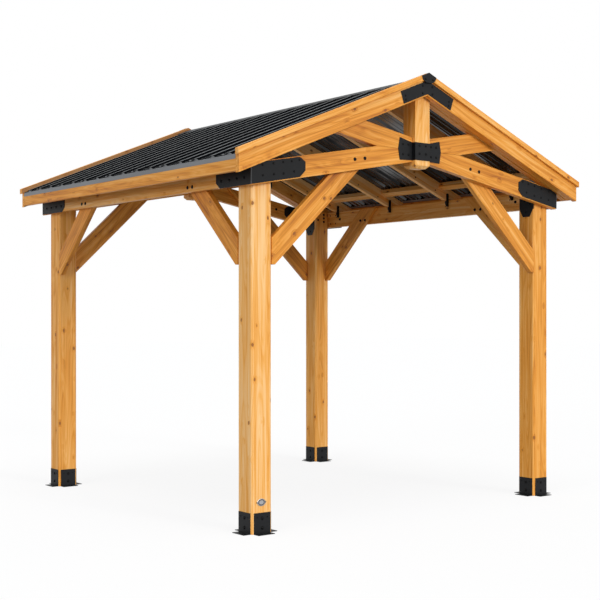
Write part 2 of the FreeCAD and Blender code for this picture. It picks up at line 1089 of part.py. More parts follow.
problems = []
for thing in doc.Objects:
    if "Invalid" in thing.State or "Error" in thing.State:
        problems.append(thing.Label + " " + str(thing.State))
for node in nodes:
    if node.Shape.isNull() or not node.Shape.isValid():
        problems.append(node.Label + " has no valid shape")
if problems:
    raise RuntimeError("; ".join(problems))

os.makedirs("parts", exist_ok=True)
for node in nodes:
    node.Shape.exportStep("parts/" + node.Label + ".step")
    box = node.Shape.BoundBox
    print(node.Label, len(node.Shape.Solids), round(box.XLength), round(box.YLength), round(box.ZLength))
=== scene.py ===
import math

import bmesh
import bpy
from mathutils import Matrix, Vector


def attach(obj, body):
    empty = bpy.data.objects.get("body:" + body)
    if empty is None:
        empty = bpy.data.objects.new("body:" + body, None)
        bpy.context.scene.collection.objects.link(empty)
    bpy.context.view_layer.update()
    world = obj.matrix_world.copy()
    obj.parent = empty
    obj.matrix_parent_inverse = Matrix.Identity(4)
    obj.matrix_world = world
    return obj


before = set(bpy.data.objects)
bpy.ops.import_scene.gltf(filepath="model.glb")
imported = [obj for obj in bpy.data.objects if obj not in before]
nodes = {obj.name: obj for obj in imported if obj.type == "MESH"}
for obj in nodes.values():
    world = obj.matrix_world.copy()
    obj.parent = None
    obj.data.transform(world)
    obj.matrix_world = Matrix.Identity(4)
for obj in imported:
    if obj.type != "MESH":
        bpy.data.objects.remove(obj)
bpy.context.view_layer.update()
scene = bpy.context.scene

# Faces of the solids that the fittings sit on, in metres from the middle
POST_X = 1.307
POST_Y = 1.325
BEAM_FACE = 1.345
BEAM_INNER_FACE = POST_X
LEG_FACE = 1.348
CHORD_FACE = 1.372
PLATE_FACE = 1.375
KING_FACE = 1.402
CHEVRON_FACE = 1.448
CAP_FACE = 1.463
BRACKET_FACE = 1.322

# Other sizes shared with the solids
POST_WIDTH = 0.147
PLATE_STEEL = 0.003
FOOT_STEEL = 0.004
CHORD_MIDDLE = 2.364
ROOF_PEAK = 2.818
ROOF_BOARDS_BELOW = 0.107
RAFTERS_Y = (-0.977, -0.301, 0.375, 1.051)
RAFTER_HALF = 0.019
RIB_COUNT = 16
RIBS_END = 1.418
RIB_PITCH = 2 * RIBS_END / RIB_COUNT
BADGE_CENTRE = (-1.239, -1.325, 0.187)
BADGE_HALF_WIDE = 0.0295
BADGE_HALF_HIGH = 0.0225

# Slopes, as a rise on a run of one
ROOF_SLOPE = 0.405
TRUSS_SLOPE = 0.182
BRACE_SLOPE = 0.9325

# Edges eased in the scene, and the angle past which an edge stays sharp
EASED_WOOD = 0.0028
EASED_STEEL = 0.0013
WELD_GAP = 0.00002
SHARP_ANGLE = math.radians(35)

WHITE = (1.0, 1.0, 1.0)


# ---------------------------------------------------------------- materials


class Graph:
    """Adds shader nodes to a node tree and links them with short calls."""

    def __init__(self, tree):
        self.tree = tree

    def add(self, kind, inputs=None, **settings):
        made = self.tree.nodes.new(kind)
        for name, value in settings.items():
            setattr(made, name, value)
        for name, value in (inputs or {}).items():
            socket = made.inputs[name]
            if isinstance(value, bpy.types.NodeSocket):
                self.tree.links.new(value, socket)
            else:
                socket.default_value = value
        return made

    def feed(self, node, name, value):
        self.tree.links.new(value, node.inputs[name])

    def place(self):
        return self.add("ShaderNodeTexCoord").outputs["Object"]

    def split(self, value):
        return self.add("ShaderNodeSeparateXYZ", {"Vector": value}).outputs

    def join(self, x, y, z):
        return self.add("ShaderNodeCombineXYZ", {0: x, 1: y, 2: z}).outputs["Vector"]

    def math(self, operation, first, second=0.0):
        made = self.add("ShaderNodeMath", {0: first, 1: second}, operation=operation)
        return made.outputs[0]

    def vector(self, operation, first, second=(0.0, 0.0, 0.0)):
        inputs = {0: first, 1: second}
        made = self.add("ShaderNodeVectorMath", inputs, operation=operation)
        gives_number = operation in ("DOT_PRODUCT", "LENGTH")
        return made.outputs["Value" if gives_number else "Vector"]

    def noise(self, where, scale, detail=2.0, roughness=0.5):
        made = self.add(
            "ShaderNodeTexNoise",
            {"Vector": where, "Scale": scale, "Detail": detail, "Roughness": roughness},
        )
        return made.outputs["Fac"]

    def stretched(self, where, scales, detail, roughness):
        """Noise with its own scale along each axis."""
        return self.noise(self.vector("MULTIPLY", where, scales), 1.0, detail, roughness)

    def span(self, value, low, high, out_low=0.0, out_high=1.0, smooth=False):
        made = self.add(
            "ShaderNodeMapRange",
            {
                "Value": value,
                "From Min": low,
                "From Max": high,
                "To Min": out_low,
                "To Max": out_high,
            },
        )
        if smooth:
            made.interpolation_type = "SMOOTHSTEP"
        return made.outputs["Result"]

    def ramp(self, value, stops):
        made = self.add("ShaderNodeValToRGB", {"Fac": value})
        ramp = made.color_ramp
        while len(ramp.elements) < len(stops):
            ramp.elements.new(0.5)
        for element, (place, colour) in zip(ramp.elements, stops):
            element.position = place
            element.color = (*colour, 1.0)
        return made.outputs["Color"]

    def mix(self, factor, first, second, blend="MIX"):
        made = self.add("ShaderNodeMix", data_type="RGBA", blend_type=blend)
        for name, value in (("Factor", factor), ("A", first), ("B", second)):
            socket = [s for s in made.inputs if s.name == name and s.enabled][0]
            if isinstance(value, bpy.types.NodeSocket):
                self.tree.links.new(value, socket)
            else:
                socket.default_value = value if name == "Factor" else (*value, 1.0)
        return [s for s in made.outputs if s.enabled][0]

    def mix_number(self, factor, first, second):
        inputs = {0: factor, 2: first, 3: second}
        return self.add("ShaderNodeMix", inputs, data_type="FLOAT").outputs[0]

    def bump(self, shader, height, strength, distance):
        inputs = {"Strength": strength, "Distance": distance, "Height": height}
        made = self.add("ShaderNodeBump", inputs)
        self.feed(shader, "Normal", made.outputs["Normal"])


def material(name):
    made = bpy.data.materials.new(name)
    made.use_nodes = True
    made.node_tree.nodes.clear()
    graph = Graph(made.node_tree)
    output = graph.add("ShaderNodeOutputMaterial")
    shader = graph.add("ShaderNodeBsdfPrincipled")
    graph.feed(output, "Surface", shader.outputs["BSDF"])
    return made, graph, shader


CEDAR_TONES = [
    (0.0, (0.93, 0.575, 0.25)),
    (0.25, (0.87, 0.428, 0.100)),
    (0.5, (0.75, 0.296, 0.030)),
    (0.75, (0.54, 0.180, 0.014)),
    (1.0, (0.31, 0.085, 0.009)),
]
KNOT_BROWN = (0.23, 0.070, 0.014)
# Tint of the painted shade on the faces of the rear rake boards and trims that look towards -Y
PAINTED_SHADE_TINT = (0.38, 0.36, 0.44)
CELLS_WITHOUT_KNOT = 0.38
KNOT_EDGE = (0.135, 0.080)
HALO_EDGE = (0.34, 0.08)


def cedar_group():
    """Stained cedar: the vector comes in metres with X along the grain."""
    tree = bpy.data.node_groups.new("cedar", "ShaderNodeTree")
    for name, way, kind in (
        ("Grain", "INPUT", "NodeSocketVector"),
        ("Tone", "INPUT", "NodeSocketFloat"),
        ("Color", "OUTPUT", "NodeSocketColor"),
        ("Roughness", "OUTPUT", "NodeSocketFloat"),
        ("Height", "OUTPUT", "NodeSocketFloat"),
    ):
        tree.interface.new_socket(name, in_out=way, socket_type=kind)
    graph = Graph(tree)
    source = graph.add("NodeGroupInput")
    grain = source.outputs["Grain"]

    # Knots: a few cells of a stretched pattern hold one
    cells = graph.add(
        "ShaderNodeTexVoronoi",
        {
            "Vector": graph.vector("MULTIPLY", grain, (8.5, 13.5, 13.5)),
            "Scale": 1.0,
            "Randomness": 0.9,
        },
        feature="F1",
    )
    cell_colour = graph.add("ShaderNodeSeparateColor", {"Color": cells.outputs["Color"]})
    chosen = graph.math("GREATER_THAN", cell_colour.outputs["Red"], CELLS_WITHOUT_KNOT)
    wobble = graph.span(graph.noise(grain, 90.0), 0.0, 1.0, -0.03, 0.03)
    reach = graph.math("ADD", cells.outputs["Distance"], wobble)
    knot = graph.math("MULTIPLY", graph.span(reach, *KNOT_EDGE, smooth=True), chosen)
    halo = graph.math("MULTIPLY", graph.span(reach, *HALO_EDGE, smooth=True), chosen)

    # Growth rings as contour lines of a field stretched along the board
    field = graph.stretched(grain, (0.7, 8.0, 8.0), 1.5, 0.45)
    field = graph.math("ADD", field, graph.math("MULTIPLY", halo, 0.045))
    broad_rings = graph.math("SINE", graph.math("MULTIPLY", field, 78.0))
    broad_rings = graph.span(broad_rings, -0.2, 1.0, smooth=True)
    fine_rings = graph.math("SINE", graph.math("MULTIPLY", field, 230.0))
    fine_rings = graph.span(fine_rings, -0.4, 1.0, smooth=True)

    # Fibres, streaks and slow changes of tone
    fibre = graph.stretched(grain, (3.5, 240.0, 240.0), 3.0, 0.6)
    streak = graph.stretched(grain, (0.9, 34.0, 34.0), 2.0, 0.5)
    thread = graph.stretched(grain, (1.8, 95.0, 95.0), 2.0, 0.5)
    slow = graph.stretched(grain, (1.1, 5.5, 5.5), 1.0, 0.5)

    tone = graph.math("MULTIPLY", broad_rings, 0.12)
    for part in (
        graph.math("MULTIPLY", fine_rings, 0.08),
        graph.span(fibre, 0.25, 0.75, -0.12, 0.12),
        graph.span(streak, 0.3, 0.7, -0.17, 0.17),
        graph.span(thread, 0.3, 0.7, -0.10, 0.10),
        graph.span(slow, 0.3, 0.7, -0.10, 0.10),
        graph.math("MULTIPLY", halo, 0.16),
        source.outputs["Tone"],
    ):
        tone = graph.math("ADD", tone, part)
    colour = graph.ramp(tone, CEDAR_TONES)
    colour = graph.mix(graph.math("MULTIPLY", knot, 0.85), colour, KNOT_BROWN)
    rough = graph.span(fibre, 0.2, 0.8, 0.42, 0.60)
    height = graph.math("MULTIPLY", fibre, 0.55)
    height = graph.math("SUBTRACT", height, graph.math("MULTIPLY", broad_rings, 0.35))
    height = graph.math("SUBTRACT", height, graph.math("MULTIPLY", knot, 0.5))
    graph.add("NodeGroupOutput", {"Color": colour, "Roughness": rough, "Height": height})
    return tree


CEDAR = cedar_group()
PAIR_SHIFT = 4.37


def cedar(name, along, seed, tone, fold=None, painted_shade=False):
    """One board's wood. fold is the axis that a node with a mirrored pair is folded on."""
    made, graph, shader = material(name)
    parts = graph.split(graph.place())
    sockets = {axis: parts[axis] for axis in "XYZ"}
    shift = None
    if fold:
        side = graph.math("SIGN", sockets[fold])
        sockets[fold] = graph.math("ABSOLUTE", sockets[fold])
        shift = graph.math("MULTIPLY", side, PAIR_SHIFT)
    folded = graph.join(sockets["X"], sockets["Y"], sockets["Z"])

    # Turn the board's own directions to the grain's, each board from its own start
    run = Vector(along).normalized()
    helper = Vector((0, 1, 0)) if abs(run.y) < 0.5 else Vector((0, 0, 1))
    across = run.cross(helper).normalized()
    third = run.cross(across).normalized()
    lengths = [graph.vector("DOT_PRODUCT", folded, tuple(v)) for v in (run, across, third)]
    start = (seed * 3.17 % 11.0, seed * 1.83 % 7.0, seed * 2.29 % 5.0)
    grain = graph.vector("ADD", graph.join(*lengths), start)
    if shift:
        grain = graph.vector("ADD", grain, graph.join(shift, shift, 0.0))

    wood = graph.add("ShaderNodeGroup", node_tree=CEDAR)
    graph.feed(wood, "Grain", grain)
    wood.inputs["Tone"].default_value = tone
    colour = wood.outputs["Color"]
    # Painted shade: faces turned towards -Y are darkened with a grey-blue tint
    if painted_shade:
        facing = graph.add("ShaderNodeTexCoord").outputs["Normal"]
        inner = graph.span(graph.split(facing)["Y"], -0.3, -0.8)
        darker = graph.mix(1.0, colour, PAINTED_SHADE_TINT, "MULTIPLY")
        colour = graph.mix(inner, colour, darker)
    graph.feed(shader, "Base Color", colour)
    graph.feed(shader, "Roughness", wood.outputs["Roughness"])
    graph.bump(shader, wood.outputs["Height"], 0.35, 0.0009)
    shader.inputs["Specular IOR Level"].default_value = 0.35
    return made


def powder_coat():
    """Black coat on the folded plates, with a painted highlight line where the corner plates
    bend.
    """
    made, graph, shader = material("black_powder_coat")
    where = graph.place()
    speckle = graph.noise(where, 900.0)
    cloud = graph.noise(where, 9.0, 3.0, 0.6)
    mottle = graph.span(cloud, 0.3, 0.7)
    colour = graph.mix(mottle, (0.0028, 0.0033, 0.0042), (0.0052, 0.0060, 0.0074))

    # Distance from the upright line where the two legs of a corner plate meet
    spread = graph.vector("ABSOLUTE", where)
    from_bend = graph.vector("SUBTRACT", spread, (LEG_FACE, PLATE_FACE, 0.0))
    from_bend = graph.split(graph.vector("ABSOLUTE", from_bend))
    away = graph.math("MAXIMUM", from_bend["X"], from_bend["Y"])
    # Painted highlight: a paler line along the bend of each corner plate
    bend_highlight = graph.span(away, 0.0065, 0.0045)
    colour = graph.mix(bend_highlight, colour, (0.060, 0.063, 0.068))
    graph.feed(shader, "Base Color", colour)
    graph.feed(shader, "Roughness", graph.span(cloud, 0.2, 0.8, 0.40, 0.54))
    graph.bump(shader, speckle, 0.16, 0.0003)
    shader.inputs["Specular IOR Level"].default_value = 0.19
    return made


def bolt_black():
    """Duller, darker black on the heads of bolts and screws."""
    made, graph, shader = material("bolt_black")
    wear = graph.noise(graph.place(), 260.0, 3.0, 0.6)
    patchy_wear_and_shade = graph.span(wear, 0.35, 0.75)
    colour = graph.mix(patchy_wear_and_shade, (0.0012, 0.0012, 0.0014), (0.004, 0.004, 0.0045))
    graph.feed(shader, "Base Color", colour)
    graph.feed(shader, "Roughness", graph.span(wear, 0.2, 0.8, 0.40, 0.52))
    shader.inputs["Specular IOR Level"].default_value = 0.10
    return made


# Heights over the flat of the sheet: above the first a form is a bead or a rib,
# and below the second it is a bead
RAISED_ABOVE = 0.0040
BEAD_BELOW = 0.0080
BEAD_FADE = 0.4


def roof_paint(name, paint_crest_highlights_and_side_shade):
    """Charcoal paint over a glossy dark coat below. The crests of ribs and beads get a painted
    highlight, and the rib sides a painted shade.
    """
    made, graph, shader = material(name)
    coordinates = graph.add("ShaderNodeTexCoord").outputs
    where = coordinates["Object"]
    normal = graph.split(coordinates["Normal"])
    place = graph.split(where)
    below = graph.math("LESS_THAN", normal["Z"], -0.05)
    cloud = graph.span(graph.stretched(where, (1.2, 6.0, 1.2), 3.0, 0.6), 0.3, 0.7)
    dust = graph.noise(where, 45.0, 4.0, 0.65)
    if paint_crest_highlights_and_side_shade:
        top = graph.mix(cloud, (0.020, 0.023, 0.026), (0.029, 0.032, 0.035))
        run = graph.math("ABSOLUTE", place["X"])
        level = graph.math("ADD", place["Z"], graph.math("MULTIPLY", run, ROOF_SLOPE))
        height = graph.math("SUBTRACT", level, ROOF_PEAK)
        raised = graph.math("GREATER_THAN", height, RAISED_ABOVE)
        bead = graph.math("LESS_THAN", height, BEAD_BELOW)
        faded = graph.math("MULTIPLY", graph.math("MULTIPLY", raised, bead), BEAD_FADE)
        crest_highlight = graph.math("SUBTRACT", raised, faded)
        # Painted highlight: the crests of the ribs get a paler colour, and the beads a fainter
        # share of it
        top = graph.mix(crest_highlight, top, (0.098, 0.108, 0.111))
        # Painted shade: the rib sides are near black
        side = graph.math("GREATER_THAN", graph.math("ABSOLUTE", normal["Y"]), 0.2)
        top = graph.mix(side, top, (0.003, 0.0036, 0.0042))
        shine = graph.span(graph.math("SUBTRACT", crest_highlight, side), 0.0, 1.0, 0.0, 0.07)
    else:
        dusty = graph.span(dust, 0.3, 0.7)
        top = graph.mix(dusty, (0.036, 0.038, 0.041), (0.046, 0.048, 0.051))
        shine = 0.02
    under = graph.mix(cloud, (0.006, 0.006, 0.007), (0.013, 0.012, 0.013))
    graph.feed(shader, "Base Color", graph.mix(below, top, under))
    rough_top = graph.span(dust, 0.2, 0.8, 0.34, 0.44)
    rough_under = graph.span(dust, 0.2, 0.8, 0.13, 0.19)
    graph.feed(shader, "Roughness", graph.mix_number(below, rough_top, rough_under))
    film = graph.stretched(where, (1.6, 2.4, 1.6), 2.0, 0.6)
    shine_under = graph.span(film, 0.42, 0.60, 0.10, 0.60)
    gloss = graph.mix_number(below, shine, shine_under)
    graph.feed(shader, "Specular IOR Level", gloss)
    return made


def flashing_paint():
    """Pale grey metal of the drip edges, the rib closures and the roof screws."""
    made, graph, shader = material("flashing_grey")
    cloud = graph.stretched(graph.place(), (6.0, 1.0, 6.0), 3.0, 0.6)
    mottle = graph.span(cloud, 0.3, 0.7)
    colour = graph.mix(mottle, (0.14, 0.147, 0.155), (0.20, 0.208, 0.218))
    graph.feed(shader, "Base Color", colour)
    graph.feed(shader, "Roughness", graph.span(cloud, 0.2, 0.8, 0.28, 0.40))
    shader.inputs["Metallic"].default_value = 0.35
    return made


def badge_metal():
    """Bare brushed metal with a ring of painted shade inside the rim, standing in for a sunk
    groove.
    """
    made, graph, shader = material("badge_metal")
    where = graph.place()
    brushed = graph.stretched(where, (60.0, 60.0, 2600.0), 2.0, 0.6)
    colour = graph.mix(brushed, (0.26, 0.26, 0.27), (0.46, 0.46, 0.47))

    # The ring lies between two shares of the way from the centre to the rim
    from_centre = graph.vector("SUBTRACT", where, BADGE_CENTRE)
    halves = (BADGE_HALF_WIDE, 1.0, BADGE_HALF_HIGH)
    share = graph.vector("LENGTH", graph.vector("DIVIDE", from_centre, halves))
    inside = graph.span(share, 0.50, 0.60)
    outside = graph.span(share, 0.88, 0.80)
    patchy_wear_and_shade = graph.span(graph.noise(where, 330.0, 2.0, 0.6), 0.3, 0.7, 0.65, 1.0)
    # Painted shade: a patchy dark ring inside the rim
    ring = graph.math("MULTIPLY", graph.math("MULTIPLY", inside, outside), patchy_wear_and_shade)
    colour = graph.mix(ring, colour, (0.055, 0.055, 0.058))
    graph.feed(shader, "Base Color", colour)
    graph.feed(shader, "Roughness", graph.span(brushed, 0.2, 0.8, 0.34, 0.46))
    shader.inputs["Metallic"].default_value = 0.85
    return made


STEEL = powder_coat()
BOLT = bolt_black()
ROOF = roof_paint("roof_charcoal", True)
RIDGE = roof_paint("ridge_charcoal", False)
FLASHING = flashing_paint()
BADGE = badge_metal()

DOWN_SLOPE = (1.0, 0.0, -ROOF_SLOPE)
UP_SLOPE = (1.0, 0.0, ROOF_SLOPE)
CHORD_RUN = (1.0, 0.0, -TRUSS_SLOPE)
STRUT_RUN = (1.0, 0.0, TRUSS_SLOPE)
GABLE_BRACE_RUN = (1.0, 0.0, -BRACE_SLOPE)
SIDE_BRACE_RUN = (0.0, 1.0, -BRACE_SLOPE)
Y_RUN = (0.0, 1.0, 0.0)
Z_RUN = (0.0, 0.0, 1.0)

# Node: direction of the grain, axis of a mirrored pair, tone from pale to dark. The tones are
# partly each board's own and partly painted light and shade: painted shade in the darker left
# side braces and back left post, and painted light in the paler left side beam
BOARDS = {
    "post_front_left": (Z_RUN, None, 0.12),
    "post_front_right": (Z_RUN, None, 0.32),
    "post_back_left": (Z_RUN, None, 0.30),
    "post_back_right": (Z_RUN, None, 0.24),
    "side_beam_left": (Y_RUN, None, 0.20),
    "side_beam_right": (Y_RUN, None, 0.26),
    "lower_chords_front": (CHORD_RUN, "X", 0.46),
    "lower_chords_back": (CHORD_RUN, "X", 0.36),
    "truss_struts_front": (STRUT_RUN, "X", 0.44),
    "truss_struts_back": (STRUT_RUN, "X", 0.30),
    "top_chords_front": (DOWN_SLOPE, "X", 0.34),
    "top_chords_back": (DOWN_SLOPE, "X", 0.34),
    "gable_rafters_front": (DOWN_SLOPE, "X", 0.36),
    "gable_rafters_back": (DOWN_SLOPE, "X", 0.34),
    "rake_boards_front": (DOWN_SLOPE, "X", 0.40),
    "rake_boards_back": (DOWN_SLOPE, "X", 0.34),
    "rake_trims_front": (DOWN_SLOPE, "X", 0.38),
    "rake_trims_back": (DOWN_SLOPE, "X", 0.36),
    "king_post_front": (Z_RUN, None, 0.14),
    "king_post_back": (Z_RUN, None, 0.28),
    "gable_braces_front": (GABLE_BRACE_RUN, "X", 0.44),
    "gable_braces_back": (GABLE_BRACE_RUN, "X", 0.46),
    "side_braces_left": (SIDE_BRACE_RUN, "Y", 0.52),
    "side_braces_right": (SIDE_BRACE_RUN, "Y", 0.44),
    "ridge_board": (Y_RUN, None, 0.34),
    "rafters_right": (DOWN_SLOPE, None, 0.02),
    "rafters_left": (UP_SLOPE, None, 0.02),
    "purlins": (Y_RUN, None, 0.10),
    "fascia_left": (Y_RUN, None, 0.42),
    "fascia_right": (Y_RUN, None, 0.42),
}
# Boards that get painted shade on their faces towards -Y
PAINTED_SHADE_BOARDS = ("rake_trims_back", "rake_boards_back")
SHEETS = {
    "roof_panel_left": ROOF,
    "roof_panel_right": ROOF,
    "ridge_cap": RIDGE,
    "eave_flashings": FLASHING,
}


def dress(node, finish, edge):
    """Gives a CAD node its material and, where edge isn't 0, small eased edges."""
    piece = nodes[node]
    piece.data.materials.clear()
    piece.data.materials.append(finish)
    weld = piece.modifiers.new("weld", "WELD")
    weld.merge_threshold = WELD_GAP
    if edge:
        bevel = piece.modifiers.new("eased_edges", "BEVEL")
        bevel.width = edge
        bevel.segments = 2
        bevel.limit_method = "ANGLE"
        bevel.angle_limit = SHARP_ANGLE
        bevel.harden_normals = False
    for face in piece.data.polygons:
        face.use_smooth = False


for number, (node, (run, fold, tone)) in enumerate(BOARDS.items()):
    wood = cedar("cedar_" + node, run, number + 1.0, tone, fold, node in PAINTED_SHADE_BOARDS)
    dress(node, wood, EASED_WOOD)

for node in nodes:
    if node in SHEETS:
        dress(node, SHEETS[node], 0.0)
    elif node not in BOARDS:
        dress(node, STEEL, EASED_STEEL)


# ---------------------------------------------------------------- fasteners

# Radii of the heads
CAP_DOME = 0.007
SMALL_DOME = 0.0075
PLATE_DOME = 0.0085
LEG_DOME = 0.0095
FOOT_DOME = 0.0105
BRACE_DOME = 0.0115
ROOF_HEX = 0.0062
SMALL_HEX = 0.0075
FRAME_HEX = 0.0085
BRACKET_SCREW = 0.004
BADGE_SCREW = 0.0042
FOOT_SCREW = 0.0045
RAFTER_SCREW = 0.0055
BEAM_SCREW = 0.006

# Heads start a little inside the face that they sit on
SUNK = -0.001


def join_rings(mesh, rings):
    """Joins each ring to the next with faces; the last ring may be a single point."""
    for low, high in zip(rings, rings[1:]):
        turns = len(low)
        for step in range(turns):
            nxt = (step + 1) % turns
            if len(high) == 1:
                mesh.faces.new((low[step], low[nxt], high[0]))
            else:
                mesh.faces.new((low[step], low[nxt], high[nxt], high[step]))


def lathe(mesh, spot, axis, outline, turns, turned=0.0):
    """Adds a solid of revolution: outline is (radius, height) from the outside in."""
    spot = Vector(spot)
    axis = Vector(axis).normalized()
    side = axis.orthogonal().normalized()
    other = axis.cross(side)
    rings = []
    for radius, height in outline:
        middle = spot + axis * height
        if radius == 0.0:
            rings.append([mesh.verts.new(middle)])
            continue
        ring = []
        for step in range(turns):
            angle = 2 * math.pi * step / turns + turned
            outward = side * (radius * math.cos(angle)) + other * (radius * math.sin(angle))
            ring.append(mesh.verts.new(middle + outward))
        rings.append(ring)
    join_rings(mesh, rings)


def dome_bolt(mesh, spot, axis, radius):
    """A domed carriage head on a thin rim."""
    rim = 0.0008
    rise = radius * 0.42
    outline = [(radius, SUNK), (radius, rim)]
    for angle in (math.pi / 8, math.pi / 4, math.pi * 3 / 8):
        outline.append((radius * math.cos(angle), rim + rise * math.sin(angle)))
    outline.append((0.0, rim + rise))
    lathe(mesh, spot, axis, outline, 20)


def hex_bolt(mesh, spot, axis, radius):
    """A washer and a hexagon head with a chamfered top."""
    washer = radius * 1.32
    edge, face = 0.0013, 0.0019
    outline = [(washer, SUNK), (washer, edge), (washer * 0.95, face), (0.0, face)]
    lathe(mesh, spot, axis, outline, 24)
    shoulder = radius * 0.78
    top = radius * 0.91
    outline = [(radius, 0.0012), (radius, shoulder), (radius * 0.86, top), (0.0, top)]
    lathe(mesh, spot, axis, outline, 6, 0.3)


def screw(mesh, spot, axis, radius):
    """A small flat screw head with a sunk centre."""
    outline = [
        (radius, SUNK),
        (radius, 0.0006),
        (radius * 0.88, 0.0012),
        (radius * 0.45, 0.0013),
        (radius * 0.30, 0.0002),
        (0.0, 0.0002),
    ]
    lathe(mesh, spot, axis, outline, 14)


def finish_mesh(name, mesh, finish, smooth=True):
    """Turns a mesh into a named piece that rides on the part."""
    bmesh.ops.recalc_face_normals(mesh, faces=mesh.faces)
    data = bpy.data.meshes.new(name)
    mesh.to_mesh(data)
    mesh.free()
    data.materials.append(finish)
    piece = bpy.data.objects.new(name, data)
    scene.collection.objects.link(piece)
    if smooth:
        data.shade_smooth()
        data.set_sharp_from_angle(angle=SHARP_ANGLE)
    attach(piece, "root")


def chord_middle(x):
    """Level halfway up a lower chord."""
    return CHORD_MIDDLE - TRUSS_SLOPE * x


def roof_level(x):
    """Level of the top of the roof sheet's flats."""
    return ROOF_PEAK - ROOF_SLOPE * x


def four_ways(mesh, kind, spots, axis, radius):
    """Repeats fasteners at the four corners; spots are for the corner at +X and +Y."""
    for side in (-1, 1):
        for end in (-1, 1):
            turned = (axis[0] * side, axis[1] * end, axis[2])
            for x, y, z in spots:
                kind(mesh, (x * side, y * end, z), turned, radius)


def gable_ways(mesh, face, spots, radius):
    """Repeats domed bolts on both gables; spots are (x, z) on a face that far out."""
    for end in (-1, 1):
        for x, z in spots:
            dome_bolt(mesh, (x, face * end, z), (0, end, 0), radius)


OUT_X = (1, 0, 0)
OUT_Y = (0, 1, 0)
IN_X = (-1, 0, 0)
IN_Y = (0, -1, 0)

# Corner plates: two rows on the chord leg, one row on the side leg
mesh = bmesh.new()
upper = [(1.264, 2.176), (1.184, 2.190), (1.112, 2.204), (1.048, 2.214), (0.990, 2.227)]
lower = [(1.262, 2.115), (1.180, 2.127), (1.110, 2.136), (1.030, 2.154)]
chord_leg = [(x, PLATE_FACE, z) for x, z in upper + lower]
four_ways(mesh, dome_bolt, chord_leg, OUT_Y, SMALL_DOME)
side_leg = [(LEG_FACE, y, 2.100) for y in (1.302, 1.228, 1.147, 1.062)]
four_ways(mesh, dome_bolt, side_leg, OUT_X, LEG_DOME)
finish_mesh("corner_plate_bolts", mesh, BOLT)

# Through bolts of the knee braces in the side beams and in the chords
mesh = bmesh.new()
in_beam = [(BEAM_FACE, y, 2.094) for y in (0.683, 0.737)]
four_ways(mesh, dome_bolt, in_beam, OUT_X, BRACE_DOME)
in_chord = [(0.470, CHORD_FACE, 2.277), (0.552, CHORD_FACE, 2.265)]
four_ways(mesh, dome_bolt, in_chord, OUT_Y, BRACE_DOME)
finish_mesh("brace_bolts", mesh, BOLT)

# Heads on the inner faces of the braces, the side beams, the chords and the posts
mesh = bmesh.new()
side_brace = [(1.269, y, 2.096) for y in (0.641, 0.700)]
four_ways(mesh, hex_bolt, side_brace, IN_X, FRAME_HEX)
four_ways(mesh, hex_bolt, [(BEAM_INNER_FACE, 1.019, 2.130)], IN_X, FRAME_HEX)
gable_brace = [(0.470, 1.287, 2.277), (0.552, 1.287, 2.265)]
four_ways(mesh, hex_bolt, gable_brace, IN_Y, FRAME_HEX)
four_ways(mesh, hex_bolt, [(0.839, 1.325, 2.213)], IN_Y, FRAME_HEX)
post_inner_y = POST_Y - POST_WIDTH
inner_post = [(1.253, post_inner_y, z) for z in (2.175, 2.144, 2.113)]
inner_post.append((1.188, post_inner_y, 2.128))
four_ways(mesh, hex_bolt, inner_post, IN_Y, SMALL_HEX)
finish_mesh("inner_bolts", mesh, BOLT)

mesh = bmesh.new()
in_beam = [(BEAM_INNER_FACE, y, z) for y in (1.150, 1.080) for z in (2.166, 2.096)]
four_ways(mesh, screw, in_beam, IN_X, BEAM_SCREW)
finish_mesh("beam_screws", mesh, BOLT)

# Inner brackets: a leg on the post and a leg on the chord
mesh = bmesh.new()
post_leg_face = POST_X - POST_WIDTH - PLATE_STEEL
post_leg = [(post_leg_face, y, z) for y, z in ((1.235, 2.109), (1.286, 2.087), (1.250, 2.027))]
four_ways(mesh, dome_bolt, post_leg, IN_X, PLATE_DOME)
chord_leg = [
    (x, BRACKET_FACE, chord_middle(x) + offset)
    for x in (0.985, 1.060, 1.125)
    for offset in (-0.032, 0.032)
]
four_ways(mesh, dome_bolt, chord_leg, IN_Y, SMALL_DOME)
finish_mesh("inner_bracket_bolts", mesh, BOLT)

# King plates, chevron plates and peak caps
mesh = bmesh.new()
wings = [(side * x, z) for side in (-1, 1) for x in (0.101, 0.148) for z in (2.395, 2.329)]
gable_ways(mesh, PLATE_FACE, wings, PLATE_DOME)
king = [(x, z) for x in (-0.027, 0.029) for z in (2.392, 2.339)]
gable_ways(mesh, KING_FACE, king, PLATE_DOME)
arm = ((0.193, 2.691), (0.190, 2.665), (0.042, 2.770), (0.043, 2.722))
chevron = [(side * x, z) for side in (-1, 1) for x, z in arm]
gable_ways(mesh, CHEVRON_FACE, chevron, SMALL_DOME)
gable_ways(mesh, CAP_FACE, [(-0.031, 2.813), (0.033, 2.813)], CAP_DOME)
finish_mesh("gable_plate_bolts", mesh, BOLT)

# Feet: two domed bolts and two small screws on each plate
mesh = bmesh.new()
small = bmesh.new()
foot_x = POST_X - POST_WIDTH / 2
foot_y = POST_Y - POST_WIDTH / 2
for side in (-1, 1):
    for end in (-1, 1):
        for outward in (OUT_X, OUT_Y, IN_X, IN_Y):
            axis = Vector(outward)
            along = Vector(Z_RUN).cross(axis)
            base = Vector((side * foot_x, end * foot_y, 0)) + axis * (POST_WIDTH / 2 + FOOT_STEEL)
            for height in (0.093, 0.036):
                dome_bolt(mesh, base + Vector((0, 0, height)), axis, FOOT_DOME)
            for shift in (-0.037, 0.037):
                screw(small, base + along * shift + Vector((0, 0, 0.099)), axis, FOOT_SCREW)
finish_mesh("foot_bolts", mesh, BOLT)
finish_mesh("foot_screws", small, BOLT)

